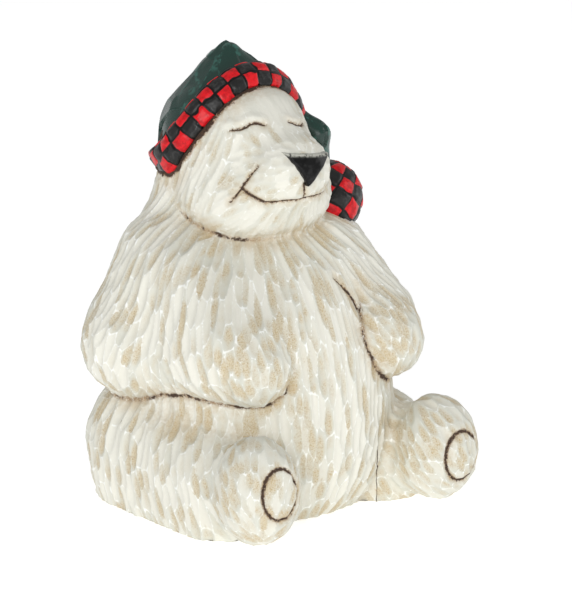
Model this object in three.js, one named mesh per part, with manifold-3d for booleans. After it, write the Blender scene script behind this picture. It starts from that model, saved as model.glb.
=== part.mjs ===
import * as THREE from 'three';
import { mergeVertices } from 'three/addons/utils/BufferGeometryUtils.js';
import Module from 'manifold-3d';

// A seated polar bear in a nightcap, with a knife-carved coat, made in one piece.
// Millimetres, +Z up. The bear looks along -Y, its left side is +X, and it rests
// on its flat underside at z = 0.

// Driving dimensions
const height = 150;
const triangleGoal = 9300;

// Every form below is a share of the height, which is 149.2 parts from the ground to
// the tip of the cap
const partsHigh = 149.2;
const part = height / partsHigh;
const at = (x, y, z) => new THREE.Vector3(x, y, z).multiplyScalar(part);
const parts = (count) => count * part;
const sampleSpacing = parts(1.55);

// Knife work: how wide, long and deep the strokes of the coat and the drawn lines are
const stroke = { halfWidth: parts(4.2), halfLength: parts(14), depth: parts(1.5), spacing: parts(8.5) };
const shortStroke = { halfWidth: parts(3.2), halfLength: parts(7), depth: parts(0.5) };
const crownFacet = { halfWidth: parts(7), halfLength: parts(9), depth: parts(0.7) };
const bandFacet = { halfWidth: parts(5), halfLength: parts(6), depth: parts(0.35) };
const line = { halfWidth: parts(2.3), depth: parts(2) };
const flourish = { halfWidth: parts(2.1), depth: parts(1.7) };

// The pose, joint by joint, for the bear's left side. The right side mirrors it, except
// for leftArmTop and leftWrist, which are for the left forearm alone.
const pose = {
  hip: at(31, 22, 20),
  knee: at(31.5, -17, 16.5),
  foot: at(36.5, -42.5, 19.5),
  sole: at(37, -56, 21),
  shoulder: at(27, 21, 78.5),
  elbow: at(38, 20, 55),
  upperArmFront: at(29, 6, 74),
  wrist: at(30, -16, 60),
  paw: at(27, -28, 54),
  leftArmTop: at(22, -2, 78),
  leftWrist: at(21, -25, 57),
  nape: at(0, 21.5, 104),
  noseTip: at(0, -21, 115),
};

// Distance fields: negative inside, positive outside
const ellipsoid = (centre, radii) => (x, y, z) => {
  const dx = (x - centre.x) / radii.x;
  const dy = (y - centre.y) / radii.y;
  const dz = (z - centre.z) / radii.z;
  const reach = Math.hypot(dx, dy, dz);
  const slope = Math.hypot(dx / radii.x, dy / radii.y, dz / radii.z);
  return slope < 1e-9 ? -Math.min(radii.x, radii.y, radii.z) : (reach * (reach - 1)) / slope;
};

const taper = (from, to, fromRadius, toRadius) => {
  const axis = to.clone().sub(from);
  const lengthSquared = axis.lengthSq();
  return (x, y, z) => {
    const px = x - from.x;
    const py = y - from.y;
    const pz = z - from.z;
    const share = THREE.MathUtils.clamp((px * axis.x + py * axis.y + pz * axis.z) / lengthSquared, 0, 1);
    const reach = Math.hypot(px - share * axis.x, py - share * axis.y, pz - share * axis.z);
    return reach - THREE.MathUtils.lerp(fromRadius, toRadius, share);
  };
};

const blend = (a, b, width) => {
  const nearness = Math.max(width - Math.abs(a - b), 0) / width;
  return Math.min(a, b) - nearness * nearness * width * 0.25;
};

const overlap = (a, b, width) => -blend(-a, -b, width);

const chain = (links, width) => (x, y, z) =>
  links.map((link) => link(x, y, z)).reduce((whole, next) => blend(whole, next, width));

// A field whose heights under a level are lifted by a share of how far under it they are:
// the form reaches further down there, or less far where the share is under nothing
const liftBelow = (field, level, share) => (x, y, z) =>
  field(x, y, z + share * Math.max(level - z, 0));

const softStep = THREE.MathUtils.smoothstep;

// Trunk: a broad seat, a barrel belly, and shoulders that slope up into the neck
const seat = liftBelow(ellipsoid(at(0, 3, 22), at(43, 43, 46)), parts(22), -0.3);
const barrel = ellipsoid(at(0, 3, 48), at(37, 41, 44));
const shoulders = taper(at(0, 24, 62), pose.nape, parts(38), parts(20.3));
const trunk = (x, y, z) =>
  blend(blend(seat(x, y, z), barrel(x, y, z), parts(16)), shoulders(x, y, z), parts(14));

// Legs: stretched forward on the ground, soles to the front
const thigh = liftBelow(taper(pose.hip, pose.knee, parts(22.3), parts(18.5)), parts(18), 0.45);
const leg = chain([thigh, ellipsoid(pose.foot, at(13.6, 15, 17.8))], parts(8));

// Arms: folded along the flanks, paws resting over the thighs
const arm = chain(
  [
    taper(pose.shoulder, pose.elbow, parts(15.7), parts(17.5)),
    taper(pose.upperArmFront, pose.wrist, parts(15), parts(14)),
    taper(at(36, 20, 53), pose.paw, parts(17), parts(12.5)),
  ],
  parts(9),
);

// The left forearm is fuller, and lies further over the belly
const leftForearm = taper(pose.leftArmTop, pose.leftWrist, parts(12), parts(12.5));
const arms = (x, y, z) => blend(arm(Math.abs(x), y, z), leftForearm(x, y, z), parts(9));

// Head: skull, wide jaw and a blunt muzzle, raised to face up and forward
const skull = ellipsoid(at(0, 17, 113), at(24, 25, 25));
const jaw = ellipsoid(at(0, 7, 100.5), at(26.5, 23, 18));
const bridge = taper(at(0, 6, 119.5), at(0, -8.5, 112), parts(15.5), parts(12.5));
const noseEnd = ellipsoid(at(0, -13, 111.5), at(14, 9.5, 10.5));
const muzzle = chain([bridge, noseEnd], parts(4));
const head = (x, y, z) =>
  blend(blend(skull(x, y, z), jaw(x, y, z), parts(8)), muzzle(x, y, z), parts(6));

// Nose: a thin pad over the muzzle's end, a triangle with its point down, cut flat on top.
// Its top dips towards the bear's left, and its point leans towards the right.
const nosePad = {
  thickness: parts(1.5),
  top: parts(118.8),
  middle: parts(0.7),
  halfWidth: parts(8.3),
  depth: parts(12),
  back: parts(-12),
  dip: 0.1,
  lean: 0.2,
};
const nose = (x, y, z) => {
  const below = nosePad.top - nosePad.dip * x - z;
  const aside = Math.abs(x - nosePad.middle + nosePad.lean * below);
  const slant = aside - nosePad.halfWidth * (1 - below / nosePad.depth);
  return Math.max(muzzle(x, y, z) - nosePad.thickness, slant * 0.75, -below, y - nosePad.back);
};

// Cap brim: a rolled band around the head, high over the brow and low at the nape
const brim = { halfWidth: parts(23.6), thickness: parts(3.7), roundness: 2.5 };
const brimRise = { mean: parts(6), less: parts(0.9) };
const brimDepth = { front: parts(8.2), oval: parts(8.6), egg: parts(3.2) };
const brimHeight = { mean: parts(119.4), tilt: parts(15.2), sag: parts(4.2) };
const brimLean = { back: parts(11), backward: parts(2.9), up: parts(6.7), upward: parts(1.7) };
const brimPoint = (angle) => {
  const away = 1 - Math.cos(angle);
  return new THREE.Vector3(
    brim.halfWidth * Math.sin(angle),
    brimDepth.front + brimDepth.oval * away + brimDepth.egg * away * away,
    brimHeight.mean + brimHeight.tilt * Math.cos(angle) + brimHeight.sag * Math.cos(2 * angle),
  );
};
const brimTangent = (angle) =>
  new THREE.Vector3(
    brim.halfWidth * Math.cos(angle),
    (brimDepth.oval + 2 * brimDepth.egg * (1 - Math.cos(angle))) * Math.sin(angle),
    -brimHeight.tilt * Math.sin(angle) - 2 * brimHeight.sag * Math.sin(2 * angle),
  );
const brimUp = (angle) =>
  new THREE.Vector3(
    0,
    brimLean.back - brimLean.backward * Math.cos(angle),
    brimLean.up + brimLean.upward * Math.cos(angle),
  );
const brimBand = (x, y, z) => {
  const place = new THREE.Vector3(x, y, z);
  let angle = Math.atan2(x / brim.halfWidth, (brimPoint(Math.PI / 2).y - y) / brim.halfWidth);
  for (let round = 0; round < 3; round += 1) {
    const along = brimTangent(angle);
    const step = place.clone().sub(brimPoint(angle)).dot(along) / along.lengthSq();
    angle += THREE.MathUtils.clamp(step, -0.3, 0.3);
  }
  const along = brimTangent(angle).normalize();
  const up = brimUp(angle).projectOnPlane(along).normalize();
  const out = along.clone().cross(up);
  const offset = place.sub(brimPoint(angle));
  const outward = Math.abs(offset.dot(out) / brim.thickness) ** brim.roundness;
  const rise = brimRise.mean - brimRise.less * Math.cos(angle);
  const upward = Math.abs(offset.dot(up) / rise) ** brim.roundness;
  return ((outward + upward) ** (1 / brim.roundness) - 1) * brim.thickness * 0.8;
};

// Cap crown: cloth over the skull down to the brim, drawn up to a peak, with a tail that
// falls from the peak past the left cheek to the bobble
const skullCloth = ellipsoid(at(0, 20, 115.5), at(24.3, 24.6, 26.1));
const clothEdge = { reach: parts(106.6), sideDrop: parts(8.8), back: 0.696, up: 0.718 };
const overSkull = (x, y, z) => {
  const drop = clothEdge.sideDrop * (x / brim.halfWidth) ** 2;
  const underBrim = clothEdge.reach - drop - clothEdge.back * y - clothEdge.up * z;
  return overlap(skullCloth(x, y, z), underBrim, parts(2));
};
const crown = chain(
  [
    overSkull,
    taper(at(0.5, 23.5, 124), at(0.3, 22.3, 134), parts(17.3), parts(12.3)),
    taper(at(0.3, 22.3, 134), at(0.3, 20.5, 145), parts(12.3), parts(4.2)),
    taper(at(1.5, 20, 142.5), at(14.5, 15.5, 133.5), parts(4), parts(5)),
    taper(at(14.5, 15.5, 133.5), at(17.5, 13.5, 126.5), parts(5), parts(3.8)),
    taper(at(17.5, 13.5, 126.5), at(26.5, 9, 116.5), parts(3.8), parts(5)),
    taper(at(26.5, 9, 116.5), at(30.5, 11.5, 102), parts(5), parts(4)),
  ],
  parts(3),
);
const bobble = ellipsoid(at(30.3, 8.7, 94), at(13.2, 13.2, 13.2));

// The whole figure before the knife: soft joins high on the shoulders and behind the
// head, sharp ones where a limb or the jaw lies against the trunk
const band = (x, y, z) => Math.min(brimBand(x, y, z), bobble(x, y, z));
const cap = (x, y, z) => Math.min(crown(x, y, z), band(x, y, z));
const bareForm = (x, y, z) => {
  const withLegs = blend(trunk(x, y, z), leg(Math.abs(x), y, z), parts(3));
  const armJoin = parts(2) + parts(12) * softStep(z, parts(66), parts(84));
  const withArms = blend(withLegs, arms(x, y, z), armJoin);
  const headJoin = parts(2) + parts(12) * softStep(y, parts(10), parts(26));
  const withHead = blend(withArms, head(x, y, z), headJoin);
  return Math.min(withHead, nose(x, y, z));
};

// The outward direction of a field at a place, and the nearest place on its surface
const slopeOf = (field, place) => {
  const reach = parts(0.3);
  const { x, y, z } = place;
  return new THREE.Vector3(
    field(x + reach, y, z) - field(x - reach, y, z),
    field(x, y + reach, z) - field(x, y - reach, z),
    field(x, y, z + reach) - field(x, y, z - reach),
  ).normalize();
};

const onSurface = (field, place) => {
  const settled = place.clone();
  for (let round = 0; round < 3; round += 1) {
    const distance = field(settled.x, settled.y, settled.z);
    settled.addScaledVector(slopeOf(field, settled), -distance);
  }
  return settled;
};

const wholeForm = (x, y, z) => Math.min(bareForm(x, y, z), cap(x, y, z));

// The lie of the coat: down the body, forward along the forearm, and on the head
// back from the nose
const coatDirection = (place) => {
  const onForearm =
    softStep(-place.y, parts(-16), parts(10)) *
    softStep(place.z, parts(36), parts(44)) *
    (1 - softStep(place.z, parts(62), parts(74))) *
    softStep(Math.abs(place.x), parts(20), parts(26));
  const onHead = softStep(place.z, parts(86), parts(92)) * (1 - softStep(place.y, parts(12), parts(28)));
  const down = new THREE.Vector3(Math.sign(place.x) * 0.15, 0, -1);
  const forward = new THREE.Vector3(0, -1, -0.25);
  const fromNose = place.clone().sub(pose.noseTip).normalize();
  return down.lerp(forward, onForearm).lerp(fromNose, onHead);
};

// A repeatable scatter: a number from 0 to 1 for each cell of a lattice
const scatter = (i, j, k, channel) => {
  const wave = Math.sin(i * 127.1 + j * 311.7 + k * 74.7 + channel * 53.3) * 43758.5453;
  return wave - Math.floor(wave);
};

// The box that the figure is sampled in
const sampleBox = { low: at(-60, -66, -6), high: at(60, 66, 156) };

// One knife stroke starts from each lattice cell that the surface passes through
const knifeStrokes = () => {
  const strokes = [];
  const pitch = stroke.spacing;
  const reachX = Math.ceil(sampleBox.high.x / pitch);
  const reachY = Math.ceil(sampleBox.high.y / pitch);
  const reachZ = Math.ceil(height / pitch);
  for (let i = -reachX; i <= reachX; i += 1) {
    for (let j = -reachY; j <= reachY; j += 1) {
      for (let k = 0; k <= reachZ; k += 1) {
        const place = new THREE.Vector3(
          (i + scatter(i, j, k, 1)) * pitch,
          (j + scatter(i, j, k, 2)) * pitch,
          (k + scatter(i, j, k, 3)) * pitch,
        );
        const distance = wholeForm(place.x, place.y, place.z);
        if (Math.abs(distance) > pitch / 2) continue;
        const normal = slopeOf(wholeForm, place);
        place.addScaledVector(normal, -distance);
        const onCap = cap(place.x, place.y, place.z) < bareForm(place.x, place.y, place.z);
        const onFace = place.z > parts(86) && place.y < parts(14);
        const onFoot = place.z < parts(40) && place.y < parts(-34) && Math.abs(place.x) > parts(20);
        const onBand = band(place.x, place.y, place.z) < crown(place.x, place.y, place.z);
        const capShape = onBand ? bandFacet : crownFacet;
        const coatShape = onFace || onFoot ? shortStroke : stroke;
        const shape = onCap ? capShape : coatShape;
        const along = coatDirection(place).projectOnPlane(normal).normalize();
        const across = along.clone().cross(normal);
        strokes.push({ place, normal, along, across, shape, onCap });
      }
    }
  }
  return strokes;
};

// Strokes are looked up by the block of space that they can reach
const blockSize = stroke.halfLength;
const blockKey = (i, j, k) => (i * 4096 + j) * 4096 + k;
const sortIntoBlocks = (strokes) => {
  const blocks = new Map();
  for (const cut of strokes) {
    const [i, j, k] = cut.place.toArray().map((value) => Math.floor(value / blockSize));
    for (let a = -1; a <= 1; a += 1) {
      for (let b = -1; b <= 1; b += 1) {
        for (let c = -1; c <= 1; c += 1) {
          const key = blockKey(i + a, j + b, k + c);
          if (!blocks.has(key)) blocks.set(key, []);
          blocks.get(key).push(cut);
        }
      }
    }
  }
  return blocks;
};

const strokeBlocks = sortIntoBlocks(knifeStrokes());
const strokeDepth = (x, y, z, onCap) => {
  const [i, j, k] = [x, y, z].map((value) => Math.floor(value / blockSize));
  let nearest = 1;
  let depth = stroke.depth;
  for (const cut of strokeBlocks.get(blockKey(i, j, k)) ?? []) {
    if (cut.onCap !== onCap) continue;
    const dx = x - cut.place.x;
    const dy = y - cut.place.y;
    const dz = z - cut.place.z;
    const along = (dx * cut.along.x + dy * cut.along.y + dz * cut.along.z) / cut.shape.halfLength;
    const across = (dx * cut.across.x + dy * cut.across.y + dz * cut.across.z) / cut.shape.halfWidth;
    const off = (dx * cut.normal.x + dy * cut.normal.y + dz * cut.normal.z) / cut.shape.halfLength;
    const reach = along * along + across * across + off * off;
    if (reach < nearest) {
      nearest = reach;
      depth = cut.shape.depth;
    }
  }
  return depth * (1 - nearest);
};

// Drawn lines: the smile, the cheek folds, the groove under the nose, the shut eyes
// and the ring around each foot pad
const smooth = (points, count) => new THREE.CatmullRomCurve3(points).getPoints(count);
const mirrorPoints = (points) => points.map((point) => new THREE.Vector3(-point.x, point.y, point.z));
const footPad = { halfWidth: parts(7.6), halfHeight: parts(8.8), drop: parts(1.4), sides: 20 };
const padRing = (side) =>
  Array.from({ length: footPad.sides + 1 }, (_, i) => {
    const angle = (i / footPad.sides) * 2 * Math.PI;
    return new THREE.Vector3(
      side * pose.sole.x + footPad.halfWidth * Math.cos(angle),
      pose.sole.y,
      pose.sole.z - side * footPad.drop + footPad.halfHeight * Math.sin(angle),
    );
  });
const smile = smooth(
  [
    at(0, -20.8, 104.2),
    at(7.2, -18.6, 104),
    at(11.4, -15.2, 103.4),
    at(14.5, -12.4, 104.8),
    at(17.1, -8.6, 107.5),
  ],
  12,
);
const cheekFold = smooth(
  [at(13.8, -12.1, 114.9), at(15.3, -9.9, 111.1), at(17.1, -8.6, 107.5), at(20.5, -7.3, 102.9)],
  8,
);
const rightEye = smooth(
  [at(-15.5, 0.2, 124.5), at(-12.5, -3, 125.2), at(-9.5, -4.8, 127), at(-6.6, -7.4, 126.6)],
  8,
);
const leftEye = smooth(
  [at(2, -9.2, 127), at(5, -9.6, 125.6), at(8, -8.3, 124.8), at(12, -4.8, 124.6)],
  8,
);
const noseGroove = [at(-2.2, -22.5, 109.3), at(-0.6, -21, 104.6)];
const drawnLines = [
  { points: noseGroove, shape: flourish },
  { points: smile, shape: flourish },
  { points: mirrorPoints(smile), shape: flourish },
  { points: cheekFold, shape: flourish },
  { points: mirrorPoints(cheekFold), shape: flourish },
  { points: rightEye, shape: flourish },
  { points: leftEye, shape: flourish },
  { points: padRing(1), shape: line },
  { points: padRing(-1), shape: line },
].map(({ points, shape }) => {
  const drawn = points.map((point) => onSurface(bareForm, point));
  const box = new THREE.Box3().setFromPoints(drawn).expandByScalar(shape.halfWidth);
  return { points: drawn, shape, box };
});

const reachToLine = (place, points) => {
  const segment = new THREE.Line3();
  const nearest = new THREE.Vector3();
  let reach = Infinity;
  for (let i = 1; i < points.length; i += 1) {
    segment.set(points[i - 1], points[i]).closestPointToPoint(place, true, nearest);
    reach = Math.min(reach, nearest.distanceTo(place));
  }
  return reach;
};

const lineDepth = (x, y, z) => {
  const place = new THREE.Vector3(x, y, z);
  let depth = 0;
  for (const { points, shape, box } of drawnLines) {
    if (!box.containsPoint(place)) continue;
    depth = Math.max(depth, shape.depth * (1 - reachToLine(place, points) / shape.halfWidth));
  }
  return depth;
};

const carvedForm = (x, y, z) => {
  const bare = bareForm(x, y, z);
  const capped = cap(x, y, z);
  const distance = Math.min(bare, capped);
  if (Math.abs(distance) > parts(5)) return distance;
  const onCap = capped < bare;
  const smoothNose = onCap ? 1 : softStep(nose(x, y, z), 0, parts(2));
  const knife = strokeDepth(x, y, z, onCap) * smoothNose;
  return distance + knife + (onCap ? 0 : lineDepth(x, y, z));
};

// The surface where the field is zero, by splitting each sample cube into six tetrahedra
const traceSurface = (field, low, high, spacing) => {
  const count = high.clone().sub(low).divideScalar(spacing).ceil().addScalar(1);
  const [nx, ny, nz] = count.toArray();
  const node = (i, j, k) => (k * ny + j) * nx + i;
  const values = new Float32Array(nx * ny * nz);
  const placeOf = (index) => {
    const i = index % nx;
    const j = Math.floor(index / nx) % ny;
    const k = Math.floor(index / (nx * ny));
    return new THREE.Vector3(i, j, k).multiplyScalar(spacing).add(low);
  };
  for (let index = 0; index < values.length; index += 1) {
    const place = placeOf(index);
    values[index] = field(place.x, place.y, place.z) || 1e-6;
  }
  const axisOrders = [[0, 1, 2], [0, 2, 1], [1, 0, 2], [1, 2, 0], [2, 0, 1], [2, 1, 0]];
  const stride = [1, nx, nx * ny];
  const points = [];
  const faces = [];
  const crossings = new Map();
  const crossing = (a, b) => {
    const key = Math.min(a, b) * values.length + Math.max(a, b);
    if (!crossings.has(key)) {
      const share = THREE.MathUtils.clamp(values[a] / (values[a] - values[b]), 0.02, 0.98);
      crossings.set(key, points.push(placeOf(a).lerp(placeOf(b), share)) - 1);
    }
    return crossings.get(key);
  };
  const addFace = (a, b, c, outward) => {
    const turn = points[b].clone().sub(points[a]).cross(points[c].clone().sub(points[a]));
    faces.push(turn.dot(outward) > 0 ? [a, b, c] : [a, c, b]);
  };
  for (let k = 0; k < nz - 1; k += 1) {
    for (let j = 0; j < ny - 1; j += 1) {
      for (let i = 0; i < nx - 1; i += 1) {
        const corner = node(i, j, k);
        if (Math.abs(values[corner]) > 3 * spacing) continue;
        for (const [first, second] of axisOrders) {
          const next = corner + stride[first];
          const tetra = [corner, next, next + stride[second], node(i + 1, j + 1, k + 1)];
          const inside = tetra.filter((index) => values[index] < 0);
          if (inside.length === 0 || inside.length === 4) continue;
          const outside = tetra.filter((index) => values[index] >= 0);
          const outward = placeOf(outside[0]).sub(placeOf(inside[0]));
          if (inside.length === 2) {
            const [a, b, c, d] = [
              crossing(inside[0], outside[0]),
              crossing(inside[0], outside[1]),
              crossing(inside[1], outside[1]),
              crossing(inside[1], outside[0]),
            ];
            addFace(a, b, c, outward);
            addFace(a, c, d, outward);
          } else {
            const [lone, others] = inside.length === 1 ? [inside[0], outside] : [outside[0], inside];
            addFace(...others.map((index) => crossing(lone, index)), outward);
          }
        }
      }
    }
  }
  return { points, faces };
};

// A priority queue of edges, cheapest first
class EdgeQueue {
  items = [];

  push(item) {
    const { items } = this;
    let index = items.push(item) - 1;
    while (index > 0) {
      const parent = (index - 1) >> 1;
      if (items[parent].cost <= item.cost) break;
      items[index] = items[parent];
      index = parent;
    }
    items[index] = item;
  }

  pop() {
    const { items } = this;
    const first = items[0];
    const last = items.pop();
    let index = 0;
    while (items.length > 0) {
      let child = 2 * index + 1;
      if (child >= items.length) break;
      if (child + 1 < items.length && items[child + 1].cost < items[child].cost) child += 1;
      if (last.cost <= items[child].cost) break;
      items[index] = items[child];
      index = child;
    }
    if (items.length > 0) items[index] = last;
    return first;
  }
}

// Fewer, larger facets: the shortest step away from the surface is taken first, so
// flat stretches give up their points and the edges of the carving keep theirs
const coarsen = ({ points, faces }, goal) => {
  const facesAt = points.map(() => new Set());
  const errors = points.map(() => new Float64Array(10));
  const stamps = new Int32Array(points.length);
  const faceTurn = (a, b, c) => b.clone().sub(a).cross(c.clone().sub(a));
  faces.forEach((face, index) => {
    const [a, b, c] = face.map((point) => points[point]);
    const turn = faceTurn(a, b, c);
    const area = turn.length();
    const { x, y, z } = turn.divideScalar(area || 1);
    const w = -(x * a.x + y * a.y + z * a.z);
    const terms = [x * x, x * y, x * z, x * w, y * y, y * z, y * w, z * z, z * w, w * w];
    for (const point of face) {
      facesAt[point].add(index);
      terms.forEach((value, term) => {
        errors[point][term] += value * area;
      });
    }
  });

  const neighbours = (point) => new Set([...facesAt[point]].flatMap((face) => faces[face]));

  const priceEdge = (a, b) => {
    const q = errors[a].map((value, term) => value + errors[b][term]);
    const middle = points[a].clone().lerp(points[b], 0.5);
    const hold = (q[0] + q[4] + q[7]) * 0.004 + 1e-9;
    const matrix = new THREE.Matrix3(
      q[0] + hold, q[1], q[2],
      q[1], q[4] + hold, q[5],
      q[2], q[5], q[7] + hold,
    );
    const place = middle.clone().multiplyScalar(hold).sub(new THREE.Vector3(q[3], q[6], q[8]));
    place.applyMatrix3(matrix.invert());
    const { x, y, z } = place;
    const error =
      q[0] * x * x + 2 * q[1] * x * y + 2 * q[2] * x * z + 2 * q[3] * x +
      q[4] * y * y + 2 * q[5] * y * z + 2 * q[6] * y +
      q[7] * z * z + 2 * q[8] * z + q[9];
    const drift = hold * place.distanceToSquared(middle);
    const edgeShare = 1e-3 * points[a].distanceToSquared(points[b]);
    return { cost: error + drift + edgeShare, a, b, place, stamp: stamps[a] + stamps[b] };
  };

  const queue = new EdgeQueue();
  for (const [a, b, c] of faces) {
    if (a < b) queue.push(priceEdge(a, b));
    if (b < c) queue.push(priceEdge(b, c));
    if (c < a) queue.push(priceEdge(c, a));
  }

  const keepsShape = (a, b, place) => {
    const shared = neighbours(b);
    const common = [...neighbours(a)].filter((point) => point !== a && point !== b && shared.has(point));
    if (common.length !== 2) return false;
    for (const [moved, other] of [[a, b], [b, a]]) {
      for (const index of facesAt[moved]) {
        const face = faces[index];
        if (face.includes(other)) continue;
        const before = faceTurn(...face.map((point) => points[point]));
        const after = faceTurn(...face.map((point) => (point === moved ? place : points[point])));
        if (after.dot(before) < 0.35 * after.length() * before.length()) return false;
      }
    }
    return true;
  };

  let remaining = faces.length;
  while (remaining > goal && queue.items.length > 0) {
    const { a, b, place, stamp } = queue.pop();
    if (stamp !== stamps[a] + stamps[b] || facesAt[a].size === 0 || facesAt[b].size === 0) continue;
    if (!keepsShape(a, b, place)) continue;
    points[a].copy(place);
    for (const index of facesAt[b]) {
      const face = faces[index];
      if (face.includes(a)) {
        for (const point of face) facesAt[point].delete(index);
        faces[index] = null;
        remaining -= 1;
      } else {
        face[face.indexOf(b)] = a;
        facesAt[a].add(index);
      }
    }
    facesAt[b].clear();
    errors[b].forEach((value, term) => {
      errors[a][term] += value;
    });
    stamps[a] += 1;
    stamps[b] += 1;
    for (const point of neighbours(a)) {
      if (point !== a) queue.push(priceEdge(a, point));
    }
  }
  return { points, faces: faces.filter(Boolean) };
};

// Solids: closed meshes in and out of the cutting library
const wasm = await Module();
wasm.setup();

const geometryFrom = ({ points, faces }) => {
  const geometry = new THREE.BufferGeometry();
  const corners = faces.flatMap((face) => face.flatMap((point) => points[point].toArray()));
  geometry.setAttribute('position', new THREE.Float32BufferAttribute(corners, 3));
  return mergeVertices(geometry);
};

const solidFrom = (geometry) => {
  const bare = geometry.clone();
  bare.deleteAttribute('normal');
  bare.deleteAttribute('uv');
  const merged = mergeVertices(bare);
  return new wasm.Manifold(
    new wasm.Mesh({
      numProp: 3,
      vertProperties: new Float32Array(merged.attributes.position.array),
      triVerts: new Uint32Array(merged.index.array),
    }),
  );
};

const geometryOf = (solid) => {
  const mesh = solid.getMesh();
  const geometry = new THREE.BufferGeometry();
  geometry.setAttribute('position', new THREE.BufferAttribute(mesh.vertProperties, 3));
  geometry.setIndex(new THREE.BufferAttribute(mesh.triVerts, 1));
  geometry.computeVertexNormals();
  return geometry;
};

// The figure is carved a little deeper than the ground and then sawn off flat
const sawMargin = parts(3);
const groundedForm = (x, y, z) => Math.max(carvedForm(x, y, z), -sawMargin - z);
const surface = traceSurface(groundedForm, sampleBox.low, sampleBox.high, sampleSpacing);
const ground = new THREE.BoxGeometry(height * 2, height * 2, height);
ground.translate(0, 0, -height / 2);
const figure = solidFrom(geometryFrom(coarsen(surface, triangleGoal))).subtract(solidFrom(ground));

const paintedCream = new THREE.MeshStandardMaterial({ color: 0xe6e2d6, roughness: 0.5, metalness: 0 });
const polarBear = new THREE.Mesh(geometryOf(figure), paintedCream);
polarBear.name = 'polar_bear';

const statue = new THREE.Group();
statue.add(polarBear);

export default statue;
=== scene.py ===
import math

import bpy
import numpy as np
from mathutils import Matrix, Vector


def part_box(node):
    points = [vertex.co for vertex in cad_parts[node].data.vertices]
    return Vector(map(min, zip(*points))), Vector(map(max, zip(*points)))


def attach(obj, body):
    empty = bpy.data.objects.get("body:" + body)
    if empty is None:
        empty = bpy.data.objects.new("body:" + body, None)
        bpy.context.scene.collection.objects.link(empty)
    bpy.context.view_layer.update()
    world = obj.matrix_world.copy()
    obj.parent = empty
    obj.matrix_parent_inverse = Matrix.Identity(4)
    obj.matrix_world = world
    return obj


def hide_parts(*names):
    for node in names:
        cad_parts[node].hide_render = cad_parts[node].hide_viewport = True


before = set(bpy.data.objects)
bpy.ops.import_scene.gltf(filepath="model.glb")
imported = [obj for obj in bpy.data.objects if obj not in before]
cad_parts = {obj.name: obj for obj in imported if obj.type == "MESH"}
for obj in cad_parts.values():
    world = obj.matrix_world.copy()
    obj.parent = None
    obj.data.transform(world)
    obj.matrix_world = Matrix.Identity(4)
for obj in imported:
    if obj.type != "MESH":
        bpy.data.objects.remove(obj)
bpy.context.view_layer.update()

# A seated polar bear in a nightcap, knife-carved and painted, in one piece. Metres, +Z up.
# The bear looks along -Y and its left side is +X.

NODE = "polar_bear"

# Sizes are counted in parts, and the solid stands this many parts high
PARTS_HIGH = 148.5325
solid_low, solid_high = (np.array(corner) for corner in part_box(NODE))
PART = float(solid_high[2] - solid_low[2]) / PARTS_HIGH

# Sample spacing of the surfaces, in parts, and the most triangles of the coat
COAT_SPACING = 0.42
TRIM_SPACING = 0.4
COAT_TRIANGLES = 190000
random = np.random.default_rng(11)


# Distance fields: negative inside, positive outside, in parts
def columns(p):
    return p[:, 0], p[:, 1], p[:, 2]


def ellipsoid(p, centre, radii):
    radii = np.array(radii, np.float32)
    q = (p - np.array(centre, np.float32)) / radii
    reach = np.sqrt((q * q).sum(1))
    steepness = np.sqrt(((q / radii) ** 2).sum(1))
    return reach * (reach - 1) / np.maximum(steepness, 1e-6)


def taper(p, start, end, start_radius, end_radius):
    start = np.array(start, np.float32)
    axis = np.array(end, np.float32) - start
    q = p - start
    share = np.clip(q @ axis / (axis @ axis), 0, 1)
    q -= share[:, None] * axis
    return np.sqrt((q * q).sum(1)) - (start_radius + share * (end_radius - start_radius))


def blend(a, b, width):
    nearness = np.maximum(width - np.abs(a - b), 0) / width
    return np.minimum(a, b) - nearness * nearness * width * 0.25


def overlap(a, b, width):
    return -blend(-a, -b, width)


def chain(distances, width):
    total = distances[0]
    for distance in distances[1:]:
        total = blend(total, distance, width)
    return total


def soft_step(value, low, high):
    t = np.clip((value - low) / (high - low), 0, 1)
    return t * t * (3 - 2 * t)


def mirrored(p):
    q = p.copy()
    q[:, 0] = np.abs(q[:, 0])
    return q


# The pose, for the bear's left side. The right side mirrors it, except for LEFT_ARM_TOP
# and LEFT_WRIST, which are for the left forearm alone.
NAPE = (0, 21.5, 104)
KNEE = (31.5, -17, 16.5)
FOOT = (36.5, -42.5, 19.5)
PAD = (37, -56, 21)
PAW = (27, -28, 54)
LEFT_ARM_TOP = (22, -2, 78)
LEFT_WRIST = (21, -25, 57)
NOSE_TIP = (0, -21, 115)


def lift_below(p, level, share):
    """The points, with those under a level lifted by a share of how far under it they are.
    A form read there reaches further down, or less far where the share is under nothing."""
    q = p.copy()
    q[:, 2] += share * np.maximum(level - q[:, 2], 0)
    return q


def trunk(p):
    seat = ellipsoid(lift_below(p, 22, -0.3), (0, 3, 22), (43, 43, 46))
    barrel = ellipsoid(p, (0, 3, 48), (37, 41, 44))
    shoulders = taper(p, (0, 24, 62), NAPE, 38, 20.3)
    return blend(blend(seat, barrel, 16), shoulders, 14)


def leg(p):
    thigh = taper(lift_below(p, 18, 0.45), (31, 22, 20), KNEE, 22.3, 18.5)
    return blend(thigh, ellipsoid(p, FOOT, (13.6, 15, 17.8)), 8)


def arm(p):
    return chain(
        [
            taper(p, (27, 21, 78.5), (38, 20, 55), 15.7, 17.5),
            taper(p, (29, 6, 74), (30, -16, 60), 15, 14),
            taper(p, (36, 20, 53), PAW, 17, 12.5),
        ],
        9,
    )


def muzzle(p):
    bridge = taper(p, (0, 6, 119.5), (0, -8.5, 112), 15.5, 12.5)
    return chain([bridge, ellipsoid(p, (0, -13, 111.5), (14, 9.5, 10.5))], 4)


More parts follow.
